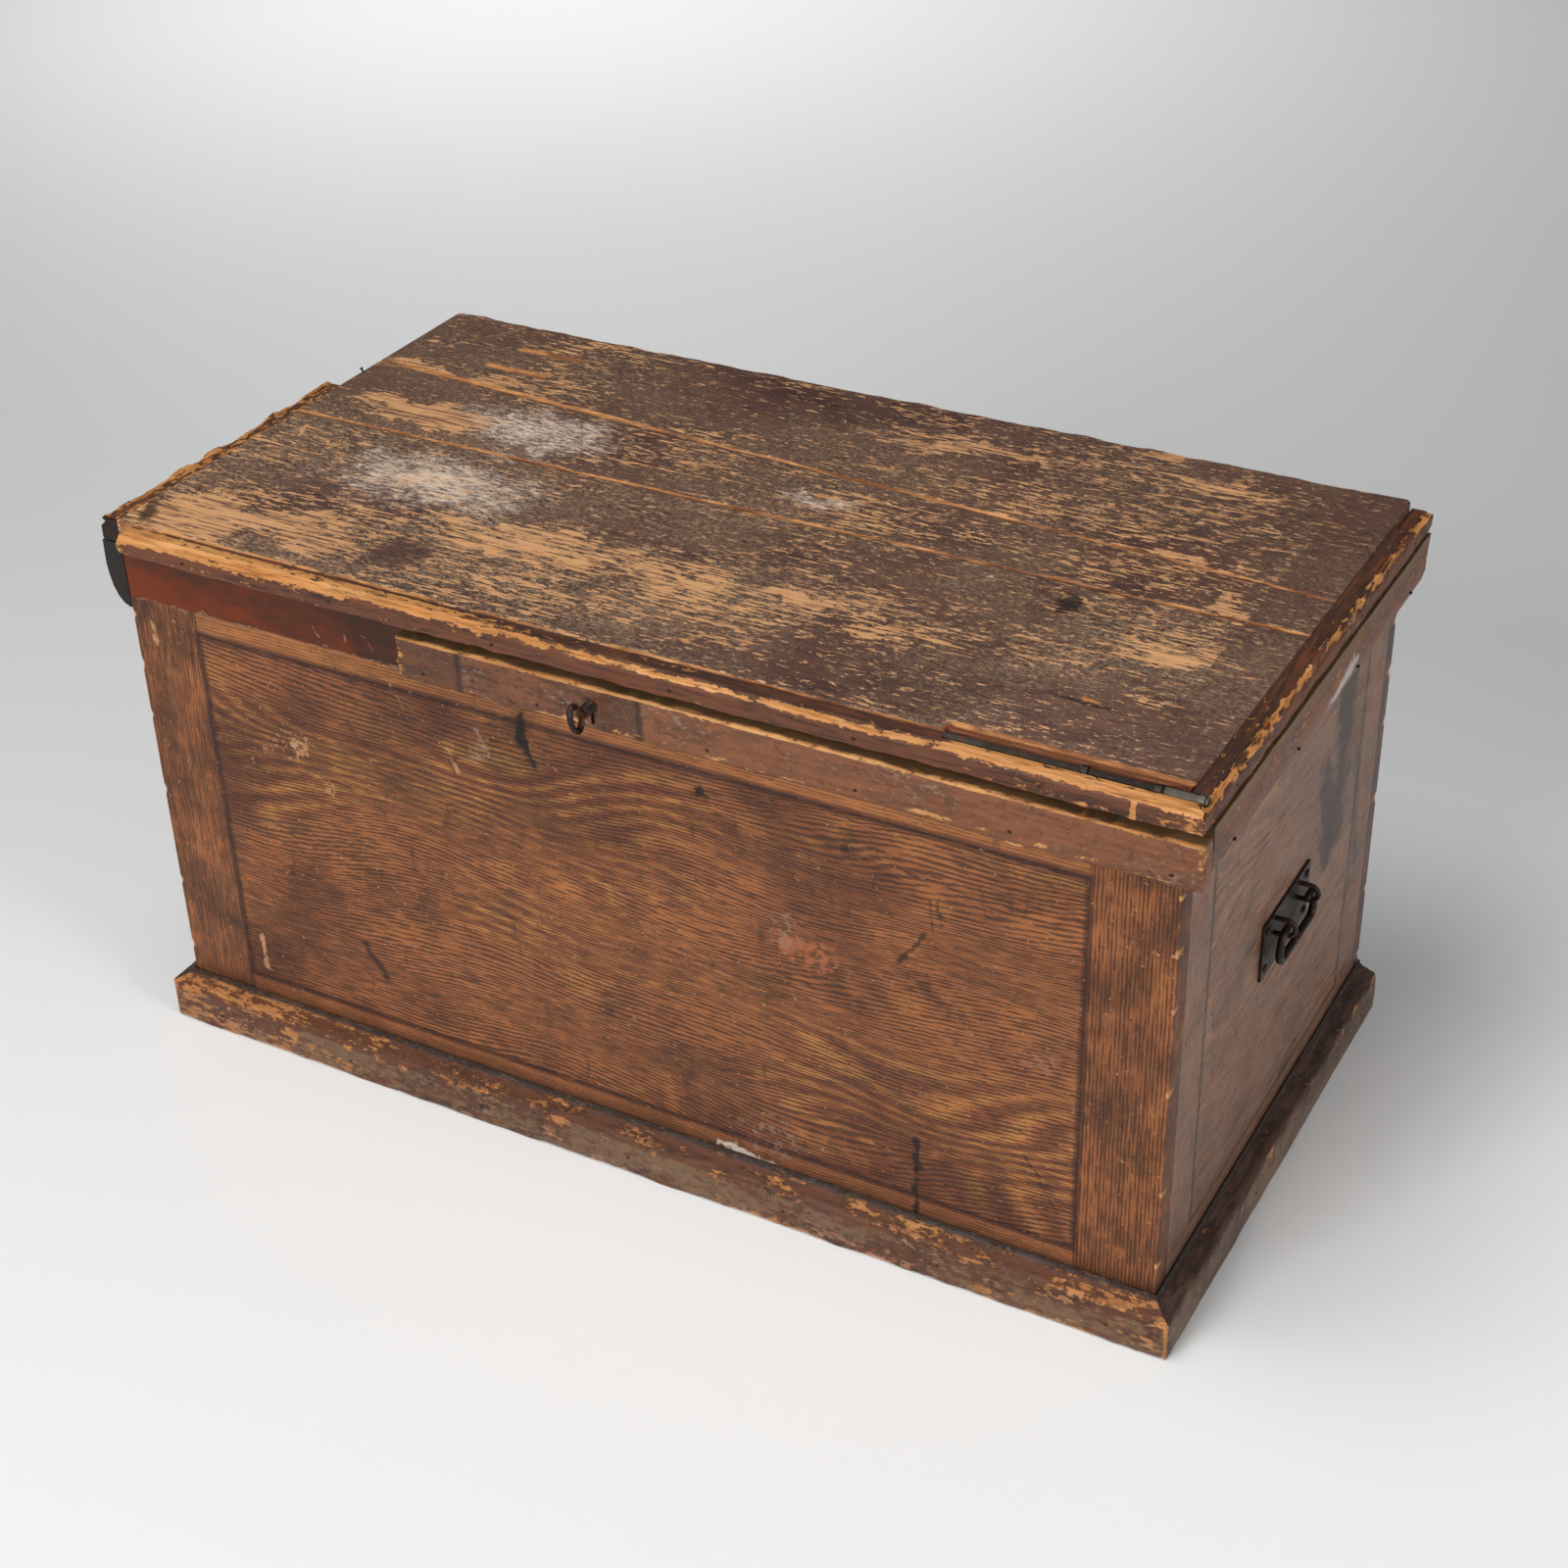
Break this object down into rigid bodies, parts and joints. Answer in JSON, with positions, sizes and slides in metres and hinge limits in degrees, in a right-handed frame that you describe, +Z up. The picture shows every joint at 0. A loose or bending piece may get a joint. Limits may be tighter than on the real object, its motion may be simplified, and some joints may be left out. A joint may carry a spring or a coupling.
{
  "type": "travel trunk",
  "caption": "Painted pine travel trunk with a plank lid on strap hinges, moulded plinth, dust strips under the lid, box lock with key, and iron drop handles on its ends.",
  "frame": {"origin": "middle of the underside, on the floor", "axes": "+X along the trunk, to the right seen from the front; +Y from front to back; +Z up"},
  "size_m": [0.941, 0.5198, 0.4823],
  "materials": {
    "grained_paint": "brown paint combed in imitation of oak, semi-gloss varnish",
    "lid_paint": "dark brown paint worn along the grain to bare pine",
    "moulding_paint": "dark brown paint, chipped and rubbed along the edges",
    "bare_pine": "bare aged pine",
    "black_iron": "black japanned iron with a little rust",
    "grey_steel": "worn bright steel"
  },
  "bodies": {
    "case": {"back_board": "grained_paint", "bottom_front_board": "bare_pine", "bottom_middle_board": "bare_pine", "bottom_rear_board": "bare_pine", "front_board": "grained_paint", "front_lip_strip": "moulding_paint", "front_plinth": "moulding_paint", "handle_rivet_1": "black_iron", "handle_rivet_2": "black_iron", "handle_rivet_3": "black_iron", "handle_rivet_4": "black_iron", "handle_rivet_5": "black_iron", "handle_rivet_6": "black_iron", "handle_rivet_7": "black_iron", "handle_rivet_8": "black_iron", "left_end_board": "grained_paint", "left_handle_front_eye": "black_iron", "left_handle_plate": "black_iron", "left_handle_rear_eye": "black_iron", "left_hinge_leaf": "black_iron", "left_hinge_pin": "grey_steel", "left_lip_strip": "moulding_paint", "left_plinth": "moulding_paint", "lock_case": "black_iron", "lock_cover": "black_iron", "lock_screw_1": "black_iron", "lock_screw_2": "black_iron", "lock_screw_3": "black_iron", "lock_screw_4": "black_iron", "right_end_board": "grained_paint", "right_handle_front_eye": "black_iron", "right_handle_plate": "black_iron", "right_handle_rear_eye": "black_iron", "right_hinge_leaf": "black_iron", "right_hinge_pin": "grey_steel", "right_lip_strip": "moulding_paint", "right_plinth": "moulding_paint"},
    "lid": {"left_hinge_strap": "black_iron", "lid_batten_left": "bare_pine", "lid_batten_right": "bare_pine", "lid_edge_clip_1": "black_iron", "lid_edge_clip_2": "black_iron", "lid_edge_clip_3": "black_iron", "lid_edge_rod": "black_iron", "lid_front_lipping": "moulding_paint", "lid_front_plank": "lid_paint", "lid_left_lipping": "moulding_paint", "lid_middle_plank": "lid_paint", "lid_rear_plank": "lid_paint", "lid_right_lipping": "moulding_paint", "link_plate_screw_1": "black_iron", "link_plate_screw_2": "black_iron", "lock_link_plate": "black_iron", "lock_staple": "grey_steel", "right_hinge_strap": "black_iron"},
    "left_handle": {"left_bail": "black_iron"},
    "right_handle": {"right_bail": "black_iron"},
    "key": {"key": "black_iron"},
    "lock_bolt": {"lock_bolt": "grey_steel"}
  },
  "joints": [
    {"name": "lid_hinge", "type": "hinge", "parent": "case", "child": "lid", "pos_m": [0, 0.23525, 0.46215], "axis": [-1, 0, 0], "range_deg": [0, 105]},
    {"name": "left_bail_swing", "type": "hinge", "parent": "case", "child": "left_handle", "pos_m": [-0.4613, 0, 0.246], "axis": [0, 1, 0], "range_deg": [0, 180]},
    {"name": "right_bail_swing", "type": "hinge", "parent": "case", "child": "right_handle", "pos_m": [0.4613, 0, 0.246], "axis": [0, -1, 0], "range_deg": [0, 180]},
    {"name": "key_turn", "type": "hinge", "parent": "case", "child": "key", "pos_m": [0, -0.25, 0.4385], "axis": [0, -1, 0], "range_deg": [0, 90]},
    {"name": "bolt_slide", "type": "slide", "parent": "case", "child": "lock_bolt", "axis": [1, 0, 0], "range_m": [0, 0.0085]}
  ],
  "couplings": [
    {"joint": "bolt_slide", "follows": "key_turn", "m_per_rad": 0.0054112}
  ]
}
